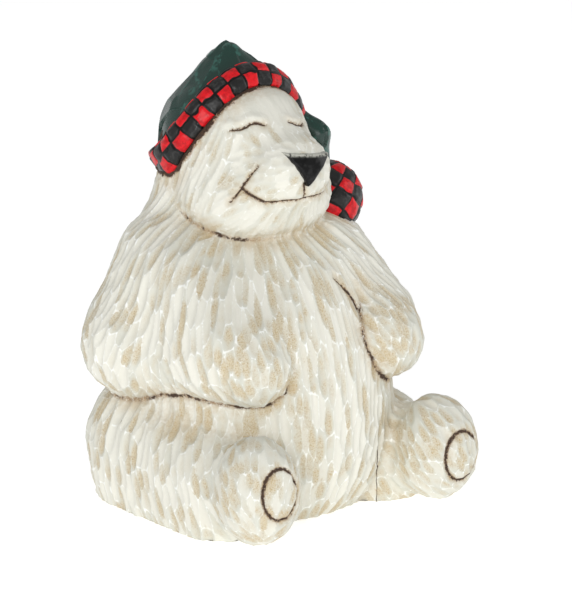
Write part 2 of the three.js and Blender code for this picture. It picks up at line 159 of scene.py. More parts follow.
def head(p):
    skull = ellipsoid(p, (0, 17, 113), (24, 25, 25))
    jaw = ellipsoid(p, (0, 7, 100.5), (26.5, 23, 18))
    return blend(blend(skull, jaw, 8), muzzle(p), 6)


def coat_parts(p):
    """The trunk, leg, arm and head fields, and the trunk with each joined on in turn: softly
    high on the shoulders and behind the head, and sharply where a limb lies against it."""
    x, y, z = columns(p)
    side = mirrored(p)
    body = trunk(p)
    legs = leg(side)
    with_legs = blend(body, legs, 3)
    arms = blend(arm(side), taper(p, LEFT_ARM_TOP, LEFT_WRIST, 12, 12.5), 9)
    on_right = 1 - soft_step(x, -8, 8)  # the right arm's soft join reaches further down
    arm_join = 2 + 12 * soft_step(z + 14 * on_right, 66, 84)
    with_arms = blend(with_legs, arms, arm_join)
    face = head(p)
    whole = blend(with_arms, face, 2 + 12 * soft_step(y, 10, 26))
    return {
        "trunk": body, "legs": legs, "with_legs": with_legs, "arms": arms,
        "with_arms": with_arms, "head": face, "whole": whole,
    }


def coat(p):
    return np.maximum(coat_parts(p)["whole"], -1.5 - p[:, 2])


# Nose: a thin pad over the muzzle's end, a triangle with its point down. Its top dips
# towards the bear's left, and its point leans towards the right.
NOSE = {
    "thickness": 1.5, "top": 118.8, "middle": 0.7, "half_width": 8.7, "depth": 10.8,
    "back": -12, "dip": 0.1, "lean": 0.22,
}


def nose(p):
    x, y, z = columns(p)
    below = NOSE["top"] - NOSE["dip"] * x - z
    aside = np.abs(x - NOSE["middle"] + NOSE["lean"] * below)
    slant = aside - NOSE["half_width"] * (1 - below / NOSE["depth"])
    wedge = overlap(slant * 0.75, -below, 0.8)
    return overlap(overlap(muzzle(p) - NOSE["thickness"], wedge, 1.0), y - NOSE["back"], 0.5)


# Cap band: a rolled ring, high over the brow and low at the nape. The angle runs round
# it from the brow, and the rise runs from its lower edge to its upper edge.
BAND = {
    "half_width": 23.6, "thickness": 3.7, "roundness": 2.5, "rise": 6, "less_at_brow": 0.9,
    "front": 8.2, "oval": 8.6, "egg": 3.2, "middle": 20, "height": 119.4, "tilt": 15.2, "sag": 4.2,
}
BAND_LEAN = {"back": 11, "backward": 2.9, "up": 6.7, "upward": 1.7}


def band_point(angle):
    away = 1 - np.cos(angle)
    return np.stack(
        [
            BAND["half_width"] * np.sin(angle),
            BAND["front"] + BAND["oval"] * away + BAND["egg"] * away * away,
            BAND["height"] + BAND["tilt"] * np.cos(angle) + BAND["sag"] * np.cos(2 * angle),
        ],
        1,
    )


def band_tangent(angle):
    return np.stack(
        [
            BAND["half_width"] * np.cos(angle),
            (BAND["oval"] + 2 * BAND["egg"] * (1 - np.cos(angle))) * np.sin(angle),
            -BAND["tilt"] * np.sin(angle) - 2 * BAND["sag"] * np.sin(2 * angle),
        ],
        1,
    )


def unit_rows(v):
    return v / np.maximum(np.sqrt((v * v).sum(1)), 1e-9)[:, None]


def band_up(angle):
    cosine = np.cos(angle)
    back = BAND_LEAN["back"] - BAND_LEAN["backward"] * cosine
    up = BAND_LEAN["up"] + BAND_LEAN["upward"] * cosine
    return np.stack([0 * angle, back, up], 1)


def band_places(p):
    """For each point: the angle round the band, and how far out of it and up it lies, as
    shares of the band's thickness and of its rise there, which is least at the brow."""
    x, y, z = columns(p)
    angle = np.arctan2(x / BAND["half_width"], (BAND["middle"] - y) / BAND["half_width"])
    for _ in range(3):
        along = band_tangent(angle)
        step = ((p - band_point(angle)) * along).sum(1) / (along * along).sum(1)
        angle = angle + np.clip(step, -0.3, 0.3)
    along = unit_rows(band_tangent(angle))
    lean = band_up(angle)
    up = unit_rows(lean - (lean * along).sum(1)[:, None] * along)
    out = np.cross(along, up)
    offset = p - band_point(angle)
    rise = BAND["rise"] - BAND["less_at_brow"] * np.cos(angle)
    return angle, (offset * out).sum(1) / BAND["thickness"], (offset * up).sum(1) / rise


def band(p):
    _, outward, upward = band_places(p)
    power = BAND["roundness"]
    ring = np.abs(outward) ** power + np.abs(upward) ** power
    return (ring ** (1 / power) - 1) * BAND["thickness"] * 0.8


# Cap crown: cloth over the skull down to the band, drawn up to a peak, with a tail that
# falls from the peak past the left cheek. Each place has the radius there.
CLOTH_EDGE = {"reach": 106.6, "side_drop": 8.8, "back": 0.696, "up": 0.718}
PEAK = [((0.5, 23.5, 124), 17.3), ((0.3, 22.3, 134), 12.3), ((0.3, 20.5, 145), 4.2)]
TAIL = [
    ((1.5, 20, 142.5), 4),
    ((14.5, 15.5, 133.5), 5),
    ((17.5, 13.5, 126.5), 3.8),
    ((26.5, 9, 116.5), 5),
    ((30.5, 11.5, 102), 4),
]


def tapers_along(p, path):
    return [taper(p, start[0], end[0], start[1], end[1]) for start, end in zip(path, path[1:])]


def crown(p):
    x, y, z = columns(p)
    drop = CLOTH_EDGE["side_drop"] * (x / BAND["half_width"]) ** 2
    under_band = CLOTH_EDGE["reach"] - drop - CLOTH_EDGE["back"] * y - CLOTH_EDGE["up"] * z
    over_skull = overlap(ellipsoid(p, (0, 20, 115.5), (24.3, 24.6, 26.1)), under_band, 2)
    return chain([over_skull, *tapers_along(p, PEAK), *tapers_along(p, TAIL)], 3)


BOBBLE_CENTRE = (30.3, 8.7, 94)
BOBBLE_RADIUS = 13.2


def bobble(p):
    return ellipsoid(p, BOBBLE_CENTRE, [BOBBLE_RADIUS] * 3)


# Surfaces: the zero of a field, as a net of quads over a grid
def in_chunks(form, points, chunk=120000):
    return np.concatenate([form(points[i:i + chunk]) for i in range(0, len(points), chunk)])


def sample_grid(form, low, counts, spacing):
    """Field values on the grid, worked out in full only near the surface."""
    block = 4
    rough_counts = counts // block + 1
    rough = np.stack(np.meshgrid(*[np.arange(n) for n in rough_counts], indexing="ij"), -1).reshape(-1, 3)
    rough_values = in_chunks(form, (low + rough * spacing * block).astype(np.float32))
    values = rough_values.reshape(rough_counts)
    for axis in range(3):
        values = np.repeat(values, block, axis)
    near = rough[np.abs(rough_values) < 2 * block * spacing]
    inner = np.stack(np.meshgrid(*[np.arange(block)] * 3, indexing="ij"), -1).reshape(1, -1, 3)
    nodes = (near[:, None] * block + inner).reshape(-1, 3)
    values[tuple(nodes.T)] = in_chunks(form, (low + nodes * spacing).astype(np.float32))
    return values


def slope(form, points, reach=0.25):
    steps = np.eye(3, dtype=np.float32) * reach
    return unit_rows(np.stack([form(points + s) - form(points - s) for s in steps], 1))


def trace(form, low, high, spacing):
    """Points and quads of the surface, the points settled onto the field's zero."""
    low = np.array(low, float)
    counts = np.ceil((np.array(high) - low) / spacing).astype(int)
    values = sample_grid(form, low, counts, spacing)
    inside = values < 0
    shape = np.array(values.shape)
    strides = np.array([shape[1] * shape[2], shape[2], 1])
    rings = []
    places = []
    for axis in range(3):
        before = [slice(None)] * 3
        after = [slice(None)] * 3
        before[axis] = slice(None, -1)
        after[axis] = slice(1, None)
        edge = np.argwhere(inside[tuple(before)] != inside[tuple(after)])
        step = np.eye(3, dtype=int)[axis]
        start_value = values[tuple(edge.T)]
        end_value = values[tuple((edge + step).T)]
        share = start_value / (start_value - end_value)
        u, v = [np.eye(3, dtype=int)[(axis + turn) % 3] for turn in (1, 2)]
        ring = np.stack([(edge - shift) @ strides for shift in (u * 0, u, u + v, v)], 1)
        ring[start_value >= 0] = ring[start_value >= 0][:, ::-1]
        rings.append(ring)
        places.append(np.repeat((edge + share[:, None] * step)[:, None], 4, 1))
    used, quads = np.unique(np.concatenate(rings), return_inverse=True)
    quads = quads.reshape(-1, 4)
    places = np.concatenate(places).reshape(-1, 3)
    corners = quads.ravel()
    share = np.bincount(corners)
    points = np.stack([np.bincount(corners, places[:, axis]) / share for axis in range(3)], 1)
    points = (low + points * spacing).astype(np.float32)
    for _ in range(2):
        distance = in_chunks(form, points)
        points -= np.clip(distance, -spacing, spacing)[:, None] * slope(form, points)
    return points, quads


# Knife strokes: shallow scoops, long and narrow along the lie of the coat, whose edges
# meet in ridges. Each is a place, a frame, and a half width, half length and depth.
def lattice_seeds(form, low, high, pitch):
    low = np.array(low, float)
    counts = np.ceil((np.array(high) - low) / pitch).astype(int)
    cells = np.stack(np.meshgrid(*[np.arange(n) for n in counts], indexing="ij"), -1).reshape(-1, 3)
    seeds = (low + (cells + random.random(cells.shape)) * pitch).astype(np.float32)
    seeds = seeds[np.abs(in_chunks(form, seeds)) < pitch * 0.5]
    for _ in range(3):
        seeds -= form(seeds)[:, None] * slope(form, seeds)
    return seeds


def sort_into_blocks(points, block):
    """Point numbers by the cube of space that they are in."""
    cells = np.floor(points / block).astype(int)
    order = np.lexsort(cells.T)
    ordered = cells[order]
    starts = np.flatnonzero(np.r_[True, (ordered[1:] != ordered[:-1]).any(1)])
    ends = np.r_[starts[1:], len(order)]
    return {tuple(ordered[a]): order[a:b] for a, b in zip(starts, ends)}


def near_place(blocks, block, place, reach):
    low = np.floor((place - reach) / block).astype(int)
    high = np.floor((place + reach) / block).astype(int)
    cells = (tuple(low + cell) for cell in np.ndindex(*(high - low + 1)))
    found = [blocks[cell] for cell in cells if cell in blocks]
    return np.concatenate(found) if found else np.zeros(0, int)


def make_strokes(form, seeds, flow, half_width, half_length, depth):
    normal = slope(form, seeds)
    along = flow(seeds)
    along = unit_rows(along - (along * normal).sum(1)[:, None] * normal)
    across = np.cross(along, normal)
    vary = random.random((len(seeds), 4))
    return {
        "place": seeds, "normal": normal, "along": along, "across": across,
        "half_width": half_width * (0.88 + 0.24 * vary[:, 0]),
        "half_length": half_length * (0.75 + 0.5 * vary[:, 1]),
        "depth": depth * (0.75 + 0.5 * vary[:, 2]),
        "tone": vary[:, 3],
    }


def stroke_offsets(strokes, i, points):
    """Where points lie in stroke i: along it, across it and off it, as shares of its size."""
    offset = points - strokes["place"][i]
    length = strokes["half_length"][i]
    along = offset @ strokes["along"][i] / length
    across = offset @ strokes["across"][i] / strokes["half_width"][i]
    off = offset @ strokes["normal"][i] / (0.5 * length)
    return along, across, off


def spread_strokes(strokes, length_gap=0.9, width_gap=1.0, block=6.0):
    """The strokes in random order, leaving out each one too close to one that is kept."""
    place = strokes["place"]
    blocks = sort_into_blocks(place, block)
    still_free = np.ones(len(place), bool)
    kept = []
    for i in range(len(place)):
        if not still_free[i]:
            continue
        kept.append(i)
        found = near_place(blocks, block, place[i], float(strokes["half_length"][i]) * length_gap)
        along, across, off = stroke_offsets(strokes, i, place[found])
        close = (along / length_gap) ** 2 + (across / width_gap) ** 2 + off * off < 1
        still_free[found[close]] = False
    return {key: value[kept] for key, value in strokes.items()}


def cut_strokes(points, strokes, block=4.0):
    """How deep the strokes cut at each point, its gap to the next deepest stroke there as a
    share of the stroke's depth, how near the middle of its own stroke the point is, and that
    stroke's tone."""
    blocks = sort_into_blocks(points, block)
    cut = np.zeros(len(points), np.float32)
    second = np.zeros(len(points), np.float32)
    middle = np.zeros(len(points), np.float32)
    tone = np.full(len(points), 0.5, np.float32)
    deepest = np.ones(len(points), np.float32)
    for i in range(len(strokes["place"])):
        found = near_place(blocks, block, strokes["place"][i], float(strokes["half_length"][i]))
        along, across, off = stroke_offsets(strokes, i, points[found])
        skewed = along - 0.3 * (1 - along * along)
        share = 1 - skewed * skewed - across * across - off * off
        inside = (share > 0) & (np.abs(along) < 1)
        found = found[inside]
        share = share[inside]
        depth = strokes["depth"][i] * share
        second[found] = np.maximum(second[found], np.minimum(depth, cut[found]))
        deeper = depth > cut[found]
        found = found[deeper]
        cut[found] = depth[deeper]
        middle[found] = share[deeper]
        tone[found] = strokes["tone"][i]
        deepest[found] = strokes["depth"][i]
    return cut, (cut - second) / deepest, middle, tone


CHIN = (0, 14, 106)
SHOULDER_POINT = (26, 9, 84)


def body_flow(p):
    """The lie of the coat: fanning down from under the chin, and on each arm from its
    shoulder, down the cheeks, forward on the brow and away from the nose on the muzzle."""
    x, y, z = columns(p)
    side = mirrored(p)
    flow = unit_rows(p - np.array(CHIN, np.float32))
    on_arm = (arm(side) < 1.5) & (trunk(p) > 0.5)
    on_arm = on_arm * soft_step(-z, -78, -66)
    fan = side - np.array(SHOULDER_POINT, np.float32)
    fan[:, 1] = 0.35 * fan[:, 1] - 10 * (1 - soft_step(z, 44, 60)) * soft_step(y, -22, -8)
    fan[:, 0] *= np.sign(x)
    flow += on_arm[:, None] * (unit_rows(fan) - flow)
    area = regions(p)
    from_nose = unit_rows(p - np.array(NOSE_TIP, np.float32))
    face = area["muzzle"] + area["jaw"]
    flow += face[:, None] * (from_nose - flow)
    down_cheek = np.array([0, 0.3, -1])
    flow += area["cheek"][:, None] * (down_cheek - flow)
    over_brow = np.array([0, -1, -0.7])
    return flow + area["brow"][:, None] * (over_brow - flow)


def regions(p):
    """At each point, the shares from 0 to 1 of the parts of the coat with their own strokes."""
    x, y, z = columns(p)
    on_head = ((head(p) < 1.5) * soft_step(z, 84, 88)).astype(np.float32)
    front = 1 - soft_step(y, -6, -1)
    muzzle_share = on_head * front * soft_step(z, 99, 102) * (1 - soft_step(z, 120, 124))
    jaw_share = on_head * (1 - soft_step(y, 12, 20)) * (1 - soft_step(z, 101, 105)) * (1 - muzzle_share)
    brow_share = on_head * soft_step(z, 118, 123) * (1 - soft_step(np.abs(x), 13, 18)) * (1 - muzzle_share)
    cheek_share = np.clip(on_head - muzzle_share - jaw_share - brow_share, 0, 1)
    feet = soft_step(-y, 32, 38) * (1 - soft_step(z, 38, 42)) * soft_step(np.abs(x), 20, 24)
    paws = (
        soft_step(-y, 22, 30)
        * soft_step(z, 38, 42)
        * (1 - soft_step(z, 68, 72))
        * soft_step(np.abs(x), 13, 16)
    )
    chest = soft_step(z, 20, 50) * (1 - soft_step(np.abs(x), 28, 36)) * (1 - on_head) * (1 - paws)
    shoulder = soft_step(z, 66, 76) * (1 - on_head)
    return {
        "muzzle": muzzle_share, "jaw": jaw_share, "brow": brow_share, "cheek": cheek_share,
        "feet": feet, "paws": paws, "chest": np.maximum(chest, shoulder),
    }


# Half width, half length and depth of the strokes on each part of the coat
STROKES = {
    "body": (2.2, 7.8, 1.15),
    "chest": (1.9, 11.0, 1.05),
    "muzzle": (1.75, 3.2, 0.42),
    "jaw": (1.25, 6.5, 0.42),
    "brow": (1.8, 8.0, 0.3),
    "cheek": (1.6, 8.5, 0.6),
    "feet": (2.0, 5.4, 0.75),
    "paws": (2.2, 6.8, 0.95),
}


# The box that holds the coat's strokes, and how far apart the tries at a stroke are
STROKE_BOX = ((-60, -66, 0), (60, 62, 130))
STROKE_PITCH = 1.7


def coat_strokes():
    seeds = lattice_seeds(coat, *STROKE_BOX, STROKE_PITCH)
    random.shuffle(seeds)
    area = regions(seeds)
    area["body"] = np.clip(1 - sum(area.values()), 0, 1)
    total = sum(area.values())
    sizes = [sum(area[key] * STROKES[key][i] for key in STROKES) / total for i in range(3)]
    return spread_strokes(make_strokes(coat, seeds, body_flow, *sizes))


# Drawn lines: the smile, the cheek folds, the groove under the nose, the shut eyes, the top
# of the left arm's fold and the rings round the foot pads, each through a few points with
# smooth stretches between
def smooth_path(points, count):
    """A smooth curve through the points, with so many places on each stretch of it."""
    points = np.array(points, float)
    padded = np.vstack([2 * points[0] - points[1], points, 2 * points[-1] - points[-2]])
    path = []
    for i in range(len(points) - 1):
        a, b, c, d = padded[i:i + 4]
        bend = 2 * a - 5 * b + 4 * c - d
        twist = 3 * b - a - 3 * c + d
        for t in np.linspace(0, 1, count, endpoint=False):
            path.append(0.5 * (2 * b + (c - a) * t + bend * t ** 2 + twist * t ** 3))
    path.append(points[-1])
    return np.array(path)


def pad_ring(side, half_width=7.6, half_height=8.8, count=48):
    """The outline of a foot pad, drawn from its lower right round over the top."""
    angle = np.linspace(0, 2 * math.pi, count + 1) - math.radians(50)
    centre = np.array(PAD) * [side, 1, 1] - [0, 0, 1.4 * side]
    return centre + np.stack([half_width * np.cos(angle), 0 * angle, half_height * np.sin(angle)], 1)


# Each line: its points, its groove's half width and depth, and the half width of its paint
# at the start, middle and end. A groove that is less than nothing is a raised lid.
SMILE = [
    (0, -20.5, 103.1), (7.2, -18.4, 102.9), (11.4, -15.2, 102.7), (14.5, -12.4, 104.5),
    (17.1, -8.6, 107.5),
]
CHEEK_FOLD = [(13.8, -12.1, 114.9), (15.3, -9.9, 111.1), (17.1, -8.6, 107.5), (20.5, -7.3, 102.9)]
BOTH_SIDES = [
    (SMILE, 1.2, 0.8, (0.2, 0.34, 0.5)),
    (CHEEK_FOLD, 1.2, 0.8, (0.15, 0.42, 0.15)),
]
RIGHT_EYE = np.array([(-15.5, 0.2, 124.5), (-12.5, -3, 125.2), (-9.5, -4.8, 127), (-6.6, -7.4, 126.6)])
LEFT_EYE = np.array([(2, -9.2, 127), (5, -9.6, 125.6), (8, -8.3, 124.8), (12, -4.8, 124.6)])
LEFT_ARM_FOLD = [(7.9, -25.7, 78.2), (10, -27.3, 75.5), (12.2, -28.6, 72.4), (13.6, -30.6, 68)]
NOSE_GROOVE = [(-2.2, -22.5, 109.3), (-1.4, -21.7, 106.4), (-0.6, -20.8, 103.6)]
ONE_SIDE = [
    (NOSE_GROOVE, 0.9, 0.7, (0.35, 0.3, 0.25)),
    (RIGHT_EYE, 1.0, 0.9, (0.15, 0.42, 0.25)),
    (LEFT_EYE, 1.0, 0.9, (0.3, 0.42, 0.15)),
    (RIGHT_EYE + [0, 0.8, 2.2], 2.0, -0.7, (0, 0, 0)),
    (LEFT_EYE + [0, 0.8, 2.2], 1.8, -0.5, (0, 0, 0)),
    (LEFT_ARM_FOLD, 1.8, 1.0, (0.12, 0.34, 0.42)),
]
PAD_RING = (1.2, 0.8, (0.25, 0.62, 0.3))


STRETCH_PLACES = 8


def every_line():
    for points, half_width, depth, paint in BOTH_SIDES:
        for side in (1, -1):
            yield smooth_path(points, STRETCH_PLACES) * [side, 1, 1], half_width, depth, paint
    for points, half_width, depth, paint in ONE_SIDE:
        yield smooth_path(points, STRETCH_PLACES), half_width, depth, paint
    for side in (1, -1):
        yield (pad_ring(side), *PAD_RING)


def line_reach(points, path):
    """How far each point is from a line, and the share of the line passed where it is nearest."""
    start = path[:-1]
    axis = path[1:] - start
    share = ((points[:, None] - start) * axis).sum(2) / np.maximum((axis * axis).sum(1), 1e-9)
    share = np.clip(share, 0, 1)
    gap = points[:, None] - start - share[..., None] * axis
    reach = np.sqrt((gap * gap).sum(2))
    nearest = reach.argmin(1)
    rows = np.arange(len(points))
    return reach[rows, nearest], (nearest + share[rows, nearest]) / len(axis)


def paint_share(reach, half_width):
    """1 on a painted line, a half at its edge, and 0 at twice its half width."""
    return np.clip(1 - reach / np.maximum(2 * half_width, 1e-3), 0, 1)


def draw_lines(points):
    """At each point, the depth of the drawn grooves, and how much of their paint and of the
    wash along them lies there."""
    depth = np.zeros(len(points), np.float32)
    paint = np.zeros(len(points), np.float32)
    wash = np.zeros(len(points), np.float32)
    for path, half_width, groove_depth, widths in every_line():
        drawn = path.astype(np.float32)
        for _ in range(3):
            drawn -= coat(drawn)[:, None] * slope(coat, drawn)
        found = np.flatnonzero(((points > drawn.min(0) - 3) & (points < drawn.max(0) + 3)).all(1))
        reach, passed = line_reach(points[found], drawn)
        scoop = groove_depth * np.clip(1 - reach / half_width, 0, 1)
        if groove_depth < 0:
            depth[found] += scoop
        else:
            depth[found] = np.maximum(depth[found], scoop)
        painted_width = np.interp(passed, (0, 0.5, 1), widths)
        paint[found] = np.maximum(paint[found], paint_share(reach, painted_width))
        if max(widths) > 0:
            wash[found] = np.maximum(wash[found], 0.8 - reach / 3.5)
    return depth, paint, wash


def fold_reach(points):
    """How far each point is from the folds: under the jaw, round the arms, at the thighs and
    under the cap. Where the forms run together, the folds' far ends count as far away."""
    fields = coat_parts(points)
    x, y, z = columns(points)
    arm_top = np.where(x > 0, 84, 54)
    jaw = np.maximum(np.abs(fields["with_arms"]), np.abs(fields["head"]))
    arms = np.maximum(np.abs(fields["with_legs"]), np.abs(fields["arms"]))
    return {
        "jaw": jaw + 20 * soft_step(y, 14, 22),
        "arms": arms + 20 * soft_step(z, arm_top - 6, arm_top + 2),
        "thigh": np.maximum(np.abs(fields["trunk"]), np.abs(fields["legs"])),
        "cap": np.maximum(np.minimum(band(points), crown(points)), 0),
    }


# Meshes
def build_mesh(name, points, quads, values=None):
    mesh = bpy.data.meshes.new(name)
    mesh.vertices.add(len(points))
    mesh.vertices.foreach_set("co", (points * PART).astype(np.float32).ravel())
    mesh.loops.add(quads.size)
    mesh.loops.foreach_set("vertex_index", quads.astype(np.int32).ravel())
    mesh.polygons.add(len(quads))
    mesh.polygons.foreach_set("loop_start", np.arange(len(quads), dtype=np.int32) * 4)
    mesh.update(calc_edges=True)
    mesh.validate()
    mesh.polygons.foreach_set("use_smooth", np.ones(len(mesh.polygons), bool))
    for key, value in (values or {}).items():
        layer = mesh.attributes.new(key, "FLOAT", "POINT")
        layer.data.foreach_set("value", value.astype(np.float32))
    return mesh


def add_piece(name, mesh, material):
    mesh.materials.append(material)
    piece = bpy.data.objects.new(name, mesh)
    bpy.context.scene.collection.objects.link(piece)
    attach(piece, "root")
    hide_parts(NODE)
    return piece


def thin_out(piece, goal):
    """The same surface with fewer triangles, by collapsing the flattest edges."""
    triangles = sum(len(face.vertices) - 2 for face in piece.data.polygons)
    if triangles > goal:
        modifier = piece.modifiers.new("collapse", "DECIMATE")
        modifier.ratio = goal / triangles
        bpy.context.view_layer.objects.active = piece
        bpy.ops.object.modifier_apply(modifier=modifier.name)


# The strokes and grooves are cut a little below the bare form, and no part of the coat
# stands outside the solid's box
COAT_BOX = ((-62, -66, -4), (62, 64, 142))
COAT_INSET = 0.1
COAT_LOW = solid_low / PART + [0.04, 0.04, 0]
COAT_HIGH = solid_high / PART - 0.04

# A fold's groove has a depth and a reach. The brown wash beside it has a strength at the
# fold, and falls by one over its reach.
FOLD_GROOVES = {"jaw": (0.9, 1.6), "arms": (0.9, 1.4), "thigh": (0.4, 1.2)}
FOLD_WASHES = {"jaw": (1, 6), "arms": (1, 5), "cap": (1, 4), "thigh": (0.7, 8)}

# The half width of the dark paint in the folds. Under the jaw it is wider on the bear's right.
ARM_CREASE = 0.62
CAP_CREASE = 0.5
JAW_CREASE = 0.36
JAW_CREASE_EXTRA = 0.18

# Below this depth a place counts as uncut, without a ridge
LEAST_CUT = 0.04


def fold_paint(points, folds):
    """The share of dark crease paint at each point."""
    jaw_crease = JAW_CREASE + JAW_CREASE_EXTRA * soft_step(-points[:, 0], 4, 14)
    widths = {"jaw": jaw_crease, "arms": ARM_CREASE, "cap": CAP_CREASE}
    return np.maximum.reduce([paint_share(folds[key], width) for key, width in widths.items()])


def make_coat(material):
    points, quads = trace(coat, *COAT_BOX, COAT_SPACING)
    normal = slope(coat, points)
    cut, gap, middle, tone = cut_strokes(points, coat_strokes())
    groove, paint, line_wash = draw_lines(points)
    folds = fold_reach(points)
    fold = sum(depth * np.clip(1 - folds[key] / reach, 0, 1) for key, (depth, reach) in FOLD_GROOVES.items())
    washes = [strength - folds[key] / reach for key, (strength, reach) in FOLD_WASHES.items()]
    halo = np.clip(np.maximum.reduce([*washes, line_wash]), 0, 1)
    crease = fold_paint(points, folds)
    points = points - (COAT_INSET + cut + groove + fold)[:, None] * normal
    points = np.clip(points, COAT_LOW, COAT_HIGH)
    area = regions(points)
    values = {
        "ridge": np.where(cut > LEAST_CUT, gap, 1),
        "stroke": middle,
        "tone": np.clip(tone + 0.4 * area["paws"] + 0.3 * area["feet"], 0, 1),
        "line": paint,
        "crease": crease,
        "halo": halo,
        "face": (head(points) < 3) & (points[:, 2] > 92),
    }
    piece = add_piece("bear_coat", build_mesh("coat", points, quads, values), material)
    thin_out(piece, COAT_TRIANGLES)


def with_seam_mended(column, quads, around):
    """Column numbers for each face corner, carried on past the seam where the count restarts."""
    corners = column[quads]
    crossing = corners.max(1) - corners.min(1) > around / 2
    corners[crossing] += around * (corners[crossing] < around / 2)
    return corners


def add_check_map(mesh, column, row, quads, around):
    layer = mesh.uv_layers.new(name="checks")
    corners = np.stack([with_seam_mended(column, quads, around), row[quads]], -1)
    layer.data.foreach_set("uv", corners.astype(np.float32).ravel())


# Facets of the cap and the nose: how far apart they start, their depth, and their reach
BAND_FLATS = (4.2, 0.3, 3.2)
CROWN_FLATS = (7.5, 0.65, 9)
BOBBLE_FLATS = (4.6, 0.35, 3.6)
NOSE_FLATS = (4.5, 0.25, 4)


def cut_flats(form, points, normal, pitch, depth, reach):
    """How deep to cut at each point for flat facets, and the gap to the next facet there."""
    seeds = lattice_seeds(form, points.min(0) - 2, points.max(0) + 2, pitch)
    facing = slope(form, seeds)
    depths = depth * (0.7 + 0.6 * random.random(len(seeds)))
    blocks = sort_into_blocks(points, 4.0)
    cut = np.zeros(len(points), np.float32)
    second = np.zeros(len(points), np.float32)
    for i in range(len(seeds)):
        found = near_place(blocks, 4.0, seeds[i], reach)
        lean = normal[found] @ facing[i]
        found = found[lean > 0.6]
        lean = lean[lean > 0.6]
        value = (depths[i] + (points[found] - seeds[i]) @ facing[i]) / lean
        value = np.minimum(value, 1.3 * depth)
        second[found] = np.maximum(second[found], np.minimum(value, cut[found]))
        cut[found] = np.maximum(cut[found], value)
    return cut, cut - second


# The dents between the checks: their depth, and how much of a check they take on each side
BAND_DENT = 0.35
BOBBLE_DENT = 0.4
DENT_SHARE = 0.2


def cell_pillow(column, row, depth):
    """Each check is a little pillow: how deep to cut for the dents between them."""
    from_edge = 0.5 - np.maximum(np.abs(column % 1 - 0.5), np.abs(row % 1 - 0.5))
    return depth * np.clip(1 - from_edge / DENT_SHARE, 0, 1) ** 1.5


# The lowest row is the widest.
BAND_COLUMNS = 30
BAND_ROW_EDGES = (-90, 0, 48, 90)
BAND_BOX = ((-32, 0, 96), (32, 56, 150))
TRIM_INSET = 0.1


def make_band(material):
    points, quads = trace(band, *BAND_BOX, TRIM_SPACING)
    normal = slope(band, points)
    angle, outward, upward = band_places(points)
    fine = np.linspace(-math.pi, math.pi, 721)
    ring = band_point(fine)
    length = np.r_[0, np.cumsum(np.sqrt(((ring[1:] - ring[:-1]) ** 2).sum(1)))]
    turned = (angle + math.pi) % (2 * math.pi) - math.pi
    column = np.interp(turned, fine, length / length[-1] * BAND_COLUMNS)
    section = np.degrees(np.arctan2(upward, outward))
    row = np.interp(section, BAND_ROW_EDGES, range(len(BAND_ROW_EDGES)))
    cut, _ = cut_flats(band, points, normal, *BAND_FLATS)
    cut = cut + cell_pillow(column, row, BAND_DENT)
    points = points - (TRIM_INSET + cut)[:, None] * normal
    mesh = build_mesh("band", points, quads)
    add_check_map(mesh, column, row, quads, BAND_COLUMNS)
    add_piece("cap_band", mesh, material)


# The crown is set in further, so that its peak stays within the solid's height
CROWN_BOX = ((-24, -4, 94), (42, 48, 152))
CROWN_INSET = 0.45


def make_crown(material):
    points, quads = trace(crown, *CROWN_BOX, TRIM_SPACING)
    normal = slope(crown, points)
    cut, gap = cut_flats(crown, points, normal, *CROWN_FLATS)
    points = points - (CROWN_INSET + cut)[:, None] * normal
    add_piece("cap_crown", build_mesh("crown", points, quads, {"ridge": gap}), material)


BOBBLE_COLUMNS = 12
BOBBLE_ROWS = 7
BOBBLE_LEAN = math.radians(40)


def make_bobble(material):
    centre = np.array(BOBBLE_CENTRE)
    margin = BOBBLE_RADIUS + 1.8
    points, quads = trace(bobble, centre - margin, centre + margin, TRIM_SPACING)
    normal = slope(bobble, points)
    lean = np.array(Matrix.Rotation(BOBBLE_LEAN, 3, "Y"))
    x, y, z = columns(unit_rows(points - centre) @ lean)
    column = (np.arctan2(y, x) / (2 * math.pi) + 0.5) * BOBBLE_COLUMNS
    row = np.arccos(np.clip(z, -1, 1)) / math.pi * BOBBLE_ROWS
    cut, _ = cut_flats(bobble, points, normal, *BOBBLE_FLATS)
    cut = cut + cell_pillow(column, row, BOBBLE_DENT)
    points = points - (TRIM_INSET + cut)[:, None] * normal
    mesh = build_mesh("bobble", points, quads)
    add_check_map(mesh, column, row, quads, BOBBLE_COLUMNS)
    add_piece("cap_bobble", mesh, material)


NOSE_BOX = ((-14, -28, 104), (14, -8, 124))


def make_nose(material):
    points, quads = trace(nose, *NOSE_BOX, TRIM_SPACING * 0.8)
    normal = slope(nose, points)
    cut, _ = cut_flats(nose, points, normal, *NOSE_FLATS)
    points = points - cut[:, None] * normal
    below = NOSE["top"] - NOSE["dip"] * points[:, 0] - points[:, 2]
    # How much pale paint lies on the nose's top facet: partly rubbed paint, partly a painted highlight
    top_rubbed_and_highlit = soft_step(-below, -1.4, -0.4)
    add_piece("nose", build_mesh("nose", points, quads, {"top_rubbed_and_highlit": top_rubbed_and_highlit}), material)


# The view: how far round from the front, towards the bear's right, and how far up
VIEW_AZIMUTH = 37.6
VIEW_ELEVATION = 15.6


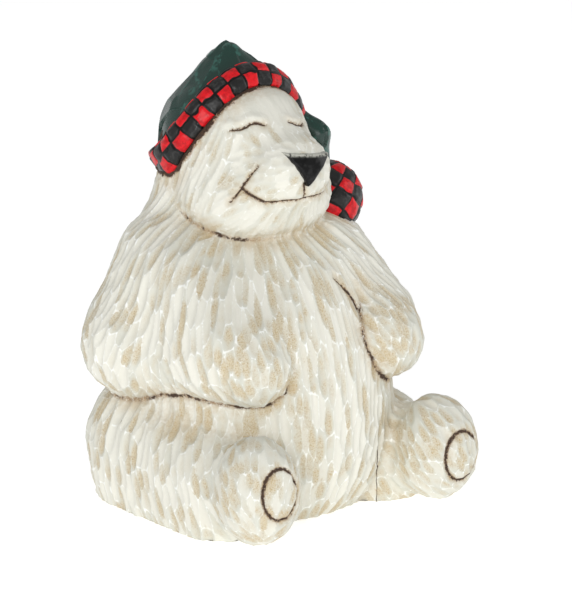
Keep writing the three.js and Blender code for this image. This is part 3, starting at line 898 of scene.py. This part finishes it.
# Materials: each one is a small graph of nodes made by these helpers
class Graph:
    def __init__(self, name):
        self.material = bpy.data.materials.new(name)
        self.material.use_nodes = True
        self.nodes = self.material.node_tree.nodes
        self.links = self.material.node_tree.links
        self.shader = self.nodes["Principled BSDF"]

    def link(self, value, socket):
        if hasattr(value, "is_linked"):
            self.links.new(value, socket)
        else:
            socket.default_value = value

    def value(self, name):
        node = self.nodes.new("ShaderNodeAttribute")
        node.attribute_name = name
        return node.outputs["Fac"]

    def math(self, operation, first, second=0.0):
        node = self.nodes.new("ShaderNodeMath")
        node.operation = operation
        self.link(first, node.inputs[0])
        self.link(second, node.inputs[1])
        return node.outputs[0]

    def lessened(self, name, share):
        """One, less a share of the named value."""
        return self.math("SUBTRACT", 1.0, self.math("MULTIPLY", self.value(name), share))

    def ramp(self, value, low, high):
        node = self.nodes.new("ShaderNodeMapRange")
        node.interpolation_type = "SMOOTHSTEP"
        self.link(value, node.inputs["Value"])
        node.inputs["From Min"].default_value = low
        node.inputs["From Max"].default_value = high
        return node.outputs["Result"]

    def mix(self, share, first, second):
        node = self.nodes.new("ShaderNodeMix")
        node.data_type = "RGBA"
        self.link(share, node.inputs["Factor"])
        self.link(first, node.inputs[6])
        self.link(second, node.inputs[7])
        return node.outputs[2]

    def noise(self, per_part, detail=3.0, roughness=0.55):
        """Cloudy noise whose grain is counted per part of the figure."""
        coordinates = self.nodes.new("ShaderNodeTexCoord")
        node = self.nodes.new("ShaderNodeTexNoise")
        self.links.new(coordinates.outputs["Object"], node.inputs["Vector"])
        node.inputs["Scale"].default_value = per_part / PART
        node.inputs["Detail"].default_value = detail
        node.inputs["Roughness"].default_value = roughness
        return node.outputs["Fac"]

    def hairline(self, across, reach, top):
        """A thin upright line, a little crooked, seen where it stands across the view."""
        split = self.nodes.new("ShaderNodeSeparateXYZ")
        coordinates = self.nodes.new("ShaderNodeTexCoord")
        self.links.new(coordinates.outputs["Object"], split.inputs[0])
        turn = math.radians(VIEW_AZIMUTH)
        along_x = self.math("MULTIPLY", split.outputs["X"], math.cos(turn) / PART)
        along_y = self.math("MULTIPLY", split.outputs["Y"], -math.sin(turn) / PART)
        off = self.math("SUBTRACT", self.math("ADD", along_x, along_y), across)
        crooked = self.math("MULTIPLY", self.math("SUBTRACT", self.noise(0.25, 3), 0.5), 1.5)
        off = self.math("ABSOLUTE", self.math("ADD", off, crooked))
        shown = self.ramp(split.outputs["Z"], top * PART, (top - 2) * PART)
        shown = self.math("MULTIPLY", shown, self.ramp(split.outputs["Y"], -10 * PART, -14 * PART))
        return self.math("MULTIPLY", self.ramp(off, reach * 1.5, reach * 0.5), shown)

    def bump(self, height, distance, strength):
        node = self.nodes.new("ShaderNodeBump")
        node.inputs["Strength"].default_value = strength
        node.inputs["Distance"].default_value = distance * PART
        self.link(height, node.inputs["Height"])
        self.links.new(node.outputs["Normal"], self.shader.inputs["Normal"])

    def finish(self, colour, roughness):
        self.link(colour, self.shader.inputs["Base Color"])
        self.link(roughness, self.shader.inputs["Roughness"])
        return self.material


CREAM = (0.71, 0.70, 0.625, 1)
CREAM_GREY = (0.60, 0.60, 0.53, 1)
RIDGE_WHITE = (0.88, 0.895, 0.865, 1)
TAN = (0.45, 0.335, 0.18, 1)
PALE_TAN = (0.59, 0.515, 0.36, 1)
SPECK = (0.26, 0.17, 0.08, 1)
BROWN = (0.27, 0.17, 0.085, 1)
DARK_BROWN = (0.075, 0.04, 0.022, 1)
BROWN_BLACK = (0.02, 0.011, 0.007, 1)
CAP_GREEN = (0.006, 0.034, 0.025, 1)
CAP_GREEN_WORN = (0.03, 0.12, 0.095, 1)
CHECK_RED = (0.66, 0.008, 0.014, 1)
CHECK_RED_DEEP = (0.42, 0.005, 0.009, 1)
CHECK_BLACK = (0.014, 0.014, 0.014, 1)
CHECK_BLACK_WORN = (0.035, 0.035, 0.034, 1)
LINE_BLACK = (0.003, 0.003, 0.003, 1)


# The hairline seam that runs up from the ground between the belly and the left thigh: where
# it stands across the view, how wide it is, and how high it reaches
SEAM_ACROSS = 35.6
SEAM_REACH = 0.13
SEAM_TOP = 23


def coat_paint():
    """Cream paint, rubbed brown wash left in the strokes, and dark lines in the folds."""
    g = Graph("coat_paint")
    stroke = g.value("stroke")
    tone = g.value("tone")
    line = g.value("line")
    crease = g.value("crease")
    fine = g.noise(2.4, 3, 0.65)
    patchy = g.noise(0.11, 2)
    ridges = g.math("MULTIPLY", g.ramp(g.value("ridge"), 0.18, 0.02), g.ramp(g.noise(0.3, 2), 0.25, 0.5))
    ridges = g.math("MULTIPLY", ridges, g.lessened("face", 0.1))
    base = g.mix(g.ramp(tone, 0.1, 0.9), CREAM, CREAM_GREY)
    base = g.mix(ridges, base, RIDGE_WHITE)
    wash = g.math("MULTIPLY", g.ramp(stroke, 0.25, 0.95), g.ramp(tone, 0.12, 0.95))
    wash = g.math("MULTIPLY", wash, g.ramp(patchy, 0.25, 0.64))
    wash = g.math("MULTIPLY", wash, g.lessened("face", 0.35))
    base = g.mix(g.math("MULTIPLY", wash, 0.9), base, PALE_TAN)
    speckle = g.math("MULTIPLY", g.ramp(fine, 0.47, 0.63), g.ramp(wash, 0.05, 0.7))
    base = g.mix(g.math("MULTIPLY", speckle, 0.85), base, TAN)
    specks = g.math("MULTIPLY", g.ramp(g.noise(3.4, 2), 0.61, 0.68), g.ramp(wash, 0.05, 0.5))
    base = g.mix(g.math("MULTIPLY", specks, 0.75), base, SPECK)
    smudges = g.ramp(g.math("ADD", g.noise(0.8, 5, 0.65), patchy), 0.75, 1.25)
    halo = g.math("MULTIPLY", g.value("halo"), smudges)
    base = g.mix(g.math("MULTIPLY", halo, 0.7), base, TAN)
    wander = g.math("SUBTRACT", g.noise(1.1, 4, 0.75), 0.5)
    rough_line = g.math("ADD", line, g.math("MULTIPLY", wander, 1.8))
    drawn = g.math("MULTIPLY", g.ramp(rough_line, 0.42, 0.68), g.ramp(line, 0.05, 0.35))
    thick = g.math("MULTIPLY", g.math("SUBTRACT", g.noise(0.17, 2), 0.5), 1.8)
    broken = g.math("ADD", g.math("ADD", crease, g.math("MULTIPLY", wander, 1.5)), thick)
    folded = g.math("MULTIPLY", g.ramp(broken, 0.42, 0.64), g.ramp(crease, 0.05, 0.4))
    crack = g.hairline(SEAM_ACROSS, SEAM_REACH, SEAM_TOP)
    dark = g.math("MAXIMUM", g.math("MAXIMUM", drawn, folded), crack)
    brown = g.ramp(g.math("MAXIMUM", line, crease), 0.02, 0.6)
    base = g.mix(g.math("MULTIPLY", brown, g.ramp(fine, 0.35, 0.55)), base, BROWN)
    colour = g.mix(dark, base, g.mix(g.ramp(fine, 0.35, 0.7), DARK_BROWN, BROWN_BLACK))
    g.bump(g.noise(1.6, 4), 0.1, 0.6)
    gloss = g.math("ADD", g.math("MULTIPLY", g.noise(0.35, 3), 0.3), 0.48)
    return g.finish(colour, g.math("ADD", gloss, g.math("MULTIPLY", dark, 0.2)))


def cap_paint():
    """Dark green gloss paint, a little paler on the ridges between the cuts."""
    g = Graph("cap_paint")
    ridges = g.math("MULTIPLY", g.ramp(g.value("ridge"), 0.12, 0.02), g.ramp(g.noise(0.5, 3), 0.42, 0.6))
    colour = g.mix(g.math("MULTIPLY", ridges, 0.8), CAP_GREEN, CAP_GREEN_WORN)
    g.bump(g.noise(0.8, 3), 0.08, 0.4)
    return g.finish(colour, g.math("ADD", g.math("MULTIPLY", g.noise(0.3, 2), 0.2), 0.12))


def check_paint(name):
    """Red and black checks painted by hand, with a thin black line round each one."""
    g = Graph(name)
    g.shader.inputs["Specular IOR Level"].default_value = 0.25
    coordinates = g.nodes.new("ShaderNodeUVMap")
    coordinates.uv_map = "checks"
    split = g.nodes.new("ShaderNodeSeparateXYZ")
    g.links.new(coordinates.outputs["UV"], split.inputs[0])
    wander_u = g.math("MULTIPLY", g.math("SUBTRACT", g.noise(0.16, 1), 0.5), 0.45)
    wander_v = g.math("MULTIPLY", g.math("SUBTRACT", g.noise(0.21, 1), 0.5), 0.5)
    u = g.math("ADD", split.outputs["X"], wander_u)
    v = g.math("ADD", split.outputs["Y"], wander_v)
    parity = g.math("ADD", g.math("FLOOR", u), g.math("FLOOR", v))
    parity = g.math("ABSOLUTE", g.math("MODULO", parity, 2.0))
    red = g.math("LESS_THAN", parity, 0.5)
    edge_u = g.math("ABSOLUTE", g.math("SUBTRACT", g.math("FRACT", u), 0.5))
    edge_v = g.math("ABSOLUTE", g.math("SUBTRACT", g.math("FRACT", v), 0.5))
    edge = g.ramp(g.math("MAXIMUM", edge_u, edge_v), 0.41, 0.45)
    reds = g.mix(g.ramp(g.noise(0.6, 3), 0.4, 0.65), CHECK_RED, CHECK_RED_DEEP)
    blacks = g.mix(g.ramp(g.noise(0.5, 4), 0.5, 0.68), CHECK_BLACK, CHECK_BLACK_WORN)
    colour = g.mix(edge, g.mix(red, blacks, reds), LINE_BLACK)
    g.bump(g.math("SUBTRACT", g.noise(1.0, 3), g.math("MULTIPLY", edge, 0.6)), 0.12, 0.5)
    return g.finish(colour, g.math("ADD", g.math("MULTIPLY", g.noise(0.4, 2), 0.25), 0.2))


def nose_paint():
    """Black paint, paler along the nose's upper edge: partly rubbed paint, partly a painted highlight on the
    top facet.
    """
    g = Graph("nose_paint")
    colour = g.mix(g.ramp(g.noise(0.5, 3), 0.45, 0.65), LINE_BLACK, CHECK_BLACK)
    # The pale top: partly rubbed paint, partly a painted highlight standing in for light on the top facet
    top_pale_share = g.math("MULTIPLY", g.value("top_rubbed_and_highlit"), g.ramp(g.noise(0.9, 4), 0.3, 0.55))
    colour = g.mix(g.math("MULTIPLY", top_pale_share, 0.8), colour, CREAM_GREY)
    g.shader.inputs["Specular IOR Level"].default_value = 0.2
    g.bump(g.noise(1.0, 3), 0.08, 0.4)
    return g.finish(colour, g.math("ADD", g.math("MULTIPLY", g.noise(0.5, 2), 0.2), 0.25))


# Studio: a pale floor, soft light, and the camera where the photograph was taken from
FLOOR_WIDTH = 9000


def make_floor():
    bpy.ops.mesh.primitive_plane_add(size=FLOOR_WIDTH * PART)
    floor = bpy.context.object
    floor.name = "floor"
    g = Graph("floor_paper")
    colour = g.mix(g.noise(0.002, 2), (0.9, 0.9, 0.9, 1), (0.93, 0.93, 0.93, 1))
    g.shader.inputs["Emission Color"].default_value = (1, 1, 1, 1)
    g.shader.inputs["Emission Strength"].default_value = 0.5
    floor.data.materials.append(g.finish(colour, 0.9))


VIEW_DISTANCE = 1050
IMAGE_WIDTH = 572
IMAGE_HEIGHT = 595
PIXELS_PER_PART = 3.02
ORIGIN_PIXEL = (268, 491.5)
SENSOR = 36


def make_camera():
    turn = math.radians(VIEW_AZIMUTH)
    rise = math.radians(VIEW_ELEVATION)
    back = Vector((-math.sin(turn) * math.cos(rise), -math.cos(turn) * math.cos(rise), math.sin(rise)))
    right = Vector((math.cos(turn), -math.sin(turn), 0))
    up = back.cross(right)
    target = right * ((IMAGE_WIDTH / 2 - ORIGIN_PIXEL[0]) / PIXELS_PER_PART)
    target += up * ((ORIGIN_PIXEL[1] - IMAGE_HEIGHT / 2) / PIXELS_PER_PART)
    camera = bpy.data.objects.new("camera", bpy.data.cameras.new("camera"))
    camera.matrix_world = Matrix.Translation((target + back * VIEW_DISTANCE) * PART) @ Matrix(
        (right, up, back)
    ).transposed().to_4x4()
    camera.data.sensor_width = SENSOR
    camera.data.lens = PIXELS_PER_PART * VIEW_DISTANCE / max(IMAGE_WIDTH, IMAGE_HEIGHT) * SENSOR
    camera.data.clip_end = 20
    bpy.context.scene.collection.objects.link(camera)
    bpy.context.scene.camera = camera


# Lamps round the figure: the place, width and power of each, in metres and watts
LAMPS = {
    "key": ((-0.85, -0.7, 0.45), 0.45, 5.5),
    "front": ((-0.2, -1.1, 0.12), 0.5, 2.0),
    "side": ((0.9, -0.4, 0.35), 0.5, 1.8),
}
LAMP_AIM_HEIGHT = 70


def add_lamp(name, place, width, power):
    light = bpy.data.lights.new(name, "AREA")
    light.size = width
    light.energy = power
    lamp = bpy.data.objects.new(name, light)
    lamp.location = place
    aim = Vector((0, 0, LAMP_AIM_HEIGHT * PART)) - Vector(place)
    lamp.rotation_euler = aim.to_track_quat("-Z", "Y").to_euler()
    bpy.context.scene.collection.objects.link(lamp)


def make_light():
    bpy.context.scene.view_settings.view_transform = "Standard"
    world = bpy.data.worlds.new("studio")
    world.use_nodes = True
    background = world.node_tree.nodes["Background"]
    background.inputs["Color"].default_value = (1, 1, 1, 1)
    background.inputs["Strength"].default_value = 0.5
    bpy.context.scene.world = world
    for name, (place, width, power) in LAMPS.items():
        add_lamp(name, place, width, power)


make_camera()
make_floor()
make_light()
make_coat(coat_paint())
make_band(check_paint("band_paint"))
make_crown(cap_paint())
make_bobble(check_paint("bobble_paint"))
make_nose(nose_paint())
